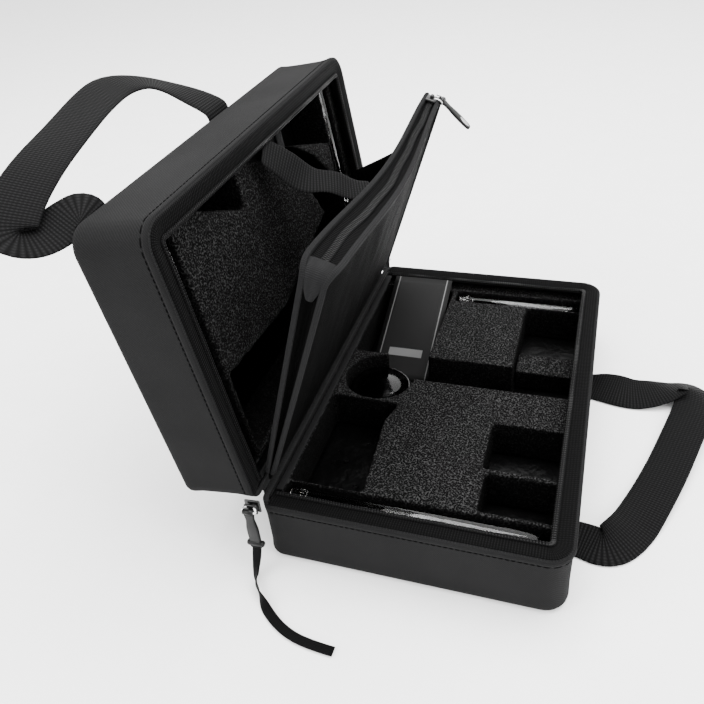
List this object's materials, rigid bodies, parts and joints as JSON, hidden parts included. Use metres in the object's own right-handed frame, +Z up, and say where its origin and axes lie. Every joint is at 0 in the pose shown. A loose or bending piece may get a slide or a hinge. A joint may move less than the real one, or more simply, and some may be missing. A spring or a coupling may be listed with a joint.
{
  "type": "zip carry case",
  "caption": "Small zip-round fabric carry case with foam trays, a zip-topped divider pouch, clear tubes and two webbing handles, standing open.",
  "frame": {"origin": "centre of the base shell's underside, on the surface it stands on", "axes": "+Z up; +X from the hinge edge to the free edge; +Y along the hinge, from the front to the back"},
  "size_m": [0.39, 0.3067, 0.2087],
  "materials": {
    "shell_fabric": "woven polyester, matt",
    "black_fabric": "black tape and lining",
    "binding": "grey binding tape",
    "webbing": "ribbed webbing",
    "foam": "open-cell foam",
    "board": "stiffening board",
    "clear_plastic": "clear moulded plastic",
    "black_plastic": "moulded plastic",
    "zip_coil": "nylon coil",
    "wire": "steel wire",
    "card": "printed card"
  },
  "bodies": {
    "base": {"base_back_tube": "clear_plastic", "base_board": "board", "base_floor_foam": "foam", "base_foam_riser": "foam", "base_foam_tray": "foam", "base_front_tube": "clear_plastic", "base_handle_ends": "webbing", "base_hinge_binding": "binding", "base_lining": "black_fabric", "base_shell": "shell_fabric", "base_welt": "shell_fabric", "base_zip_coil": "zip_coil", "base_zip_tape": "black_fabric", "jar": "black_plastic", "spine_strip": "shell_fabric"},
    "lid": {"back_gusset": "black_fabric", "lid_back_tube": "clear_plastic", "lid_board": "board", "lid_floor_foam": "foam", "lid_foam_tray": "foam", "lid_foam_wedge": "foam", "lid_front_tube": "clear_plastic", "lid_handle_ends": "webbing", "lid_hinge_binding": "binding", "lid_lining": "black_fabric", "lid_loop_tab": "webbing", "lid_shell": "shell_fabric", "lid_welt": "shell_fabric", "lid_zip_coil": "zip_coil", "lid_zip_tape": "black_fabric", "stay_strap": "webbing"},
    "divider": {"divider_base_binding": "binding", "divider_base_panel": "black_fabric", "divider_end_gussets": "black_fabric", "divider_flap": "black_fabric", "divider_lid_binding": "binding", "divider_lid_panel": "black_fabric", "divider_zip_coil": "zip_coil", "divider_zip_tape": "black_fabric"},
    "divider_slider": {"divider_slider": "black_plastic", "divider_slider_bail": "wire"},
    "divider_pull": {"divider_pull": "black_plastic"},
    "front_slider": {"front_slider": "black_plastic", "front_slider_bail": "wire", "ribbon_tail": "webbing"},
    "front_pull": {"front_pull": "black_plastic"},
    "back_slider": {"back_slider": "black_plastic", "back_slider_bail": "wire"},
    "back_pull": {"back_pull": "black_plastic"},
    "base_handle": {"base_handle": "webbing"},
    "lid_handle": {"lid_handle": "webbing"},
    "card": {"card": "card"},
    "base_front_cap": {"base_front_tube_cap": "clear_plastic"},
    "base_back_cap": {"base_back_tube_cap": "clear_plastic"},
    "lid_front_cap": {"lid_front_tube_cap": "clear_plastic"},
    "lid_back_cap": {"lid_back_tube_cap": "clear_plastic"},
    "jar_lid": {"jar_lid": "clear_plastic"}
  },
  "joints": [
    {"name": "lid_hinge", "type": "hinge", "parent": "base", "child": "lid", "pos_m": [-0.08, 0, 0.043], "axis": [0, 1, 0], "range_deg": [0, 98], "deforming": ["spine_strip"]},
    {"name": "divider_fold", "type": "hinge", "parent": "lid", "child": "divider", "pos_m": [-0.08, 0, 0.043], "axis": [0, 1, 0], "range_deg": [-26, 0], "deforming": ["stay_strap", "back_gusset"]},
    {"name": "divider_zip_slide", "type": "slide", "parent": "divider", "child": "divider_slider", "axis": [0, -1, 0], "range_m": [0, 0.2]},
    {"name": "divider_pull_swing", "type": "hinge", "parent": "divider_slider", "child": "divider_pull", "pos_m": [-0.02835, 0.101, 0.17931], "axis": [0, 1, 0], "range_deg": [0, 63]},
    {"name": "front_zip_slide", "type": "slide", "parent": "base", "child": "front_slider", "axis": [1, 0, 0], "range_m": [0, 0.135]},
    {"name": "front_pull_swing", "type": "hinge", "parent": "front_slider", "child": "front_pull", "pos_m": [-0.082, -0.13225, 0.0435], "axis": [-1, 0, 0], "range_deg": [-6, 150], "deforming": ["ribbon_tail"]},
    {"name": "back_zip_slide", "type": "slide", "parent": "base", "child": "back_slider", "axis": [1, 0, 0], "range_m": [0, 0.135]},
    {"name": "back_pull_swing", "type": "hinge", "parent": "back_slider", "child": "back_pull", "pos_m": [-0.082, 0.13225, 0.0435], "axis": [1, 0, 0], "range_deg": [-6, 150]},
    {"name": "base_handle_swing", "type": "hinge", "parent": "base", "child": "base_handle", "pos_m": [0.083, 0, 0.00085], "axis": [0, -1, 0], "range_deg": [0, 84]},
    {"name": "lid_handle_swing", "type": "hinge", "parent": "lid", "child": "lid_handle", "pos_m": [-0.14541, 0, 0.19841], "axis": [0, 1, 0], "range_deg": [-38, 76]},
    {"name": "card_tip", "type": "hinge", "parent": "base", "child": "card", "pos_m": [-0.046, 0.029, 0.0095], "axis": [-1, 0, 0], "range_deg": [0, 3.5]},
    {"name": "base_front_cap_turn", "type": "hinge", "parent": "base", "child": "base_front_cap", "pos_m": [-0.072, -0.10475, 0.028], "axis": [1, 0, 0], "range_deg": [0, 540]},
    {"name": "base_back_cap_turn", "type": "hinge", "parent": "base", "child": "base_back_cap", "pos_m": [-0.018, 0.10475, 0.028], "axis": [1, 0, 0], "range_deg": [0, 540]},
    {"name": "lid_front_cap_turn", "type": "hinge", "parent": "lid", "child": "lid_front_cap", "pos_m": [-0.09652, -0.10475, 0.0528], "axis": [-0.1392, 0, 0.9903], "range_deg": [0, 540]},
    {"name": "lid_back_cap_turn", "type": "hinge", "parent": "lid", "child": "lid_back_cap", "pos_m": [-0.10376, 0.10475, 0.10429], "axis": [-0.1392, 0, 0.9903], "range_deg": [0, 540]},
    {"name": "jar_lid_turn", "type": "hinge", "parent": "base", "child": "jar_lid", "pos_m": [-0.05, 0.0015, 0.024], "axis": [0, 0, 1], "range_deg": [0, 360]}
  ],
  "couplings": [
    {"joint": "divider_fold", "follows": "lid_hinge", "ratio": -0.26531},
    {"joint": "divider_pull_swing", "follows": "lid_hinge", "ratio": 0.64286},
    {"joint": "card_tip", "follows": "lid_hinge", "ratio": 0.035714}
  ]
}
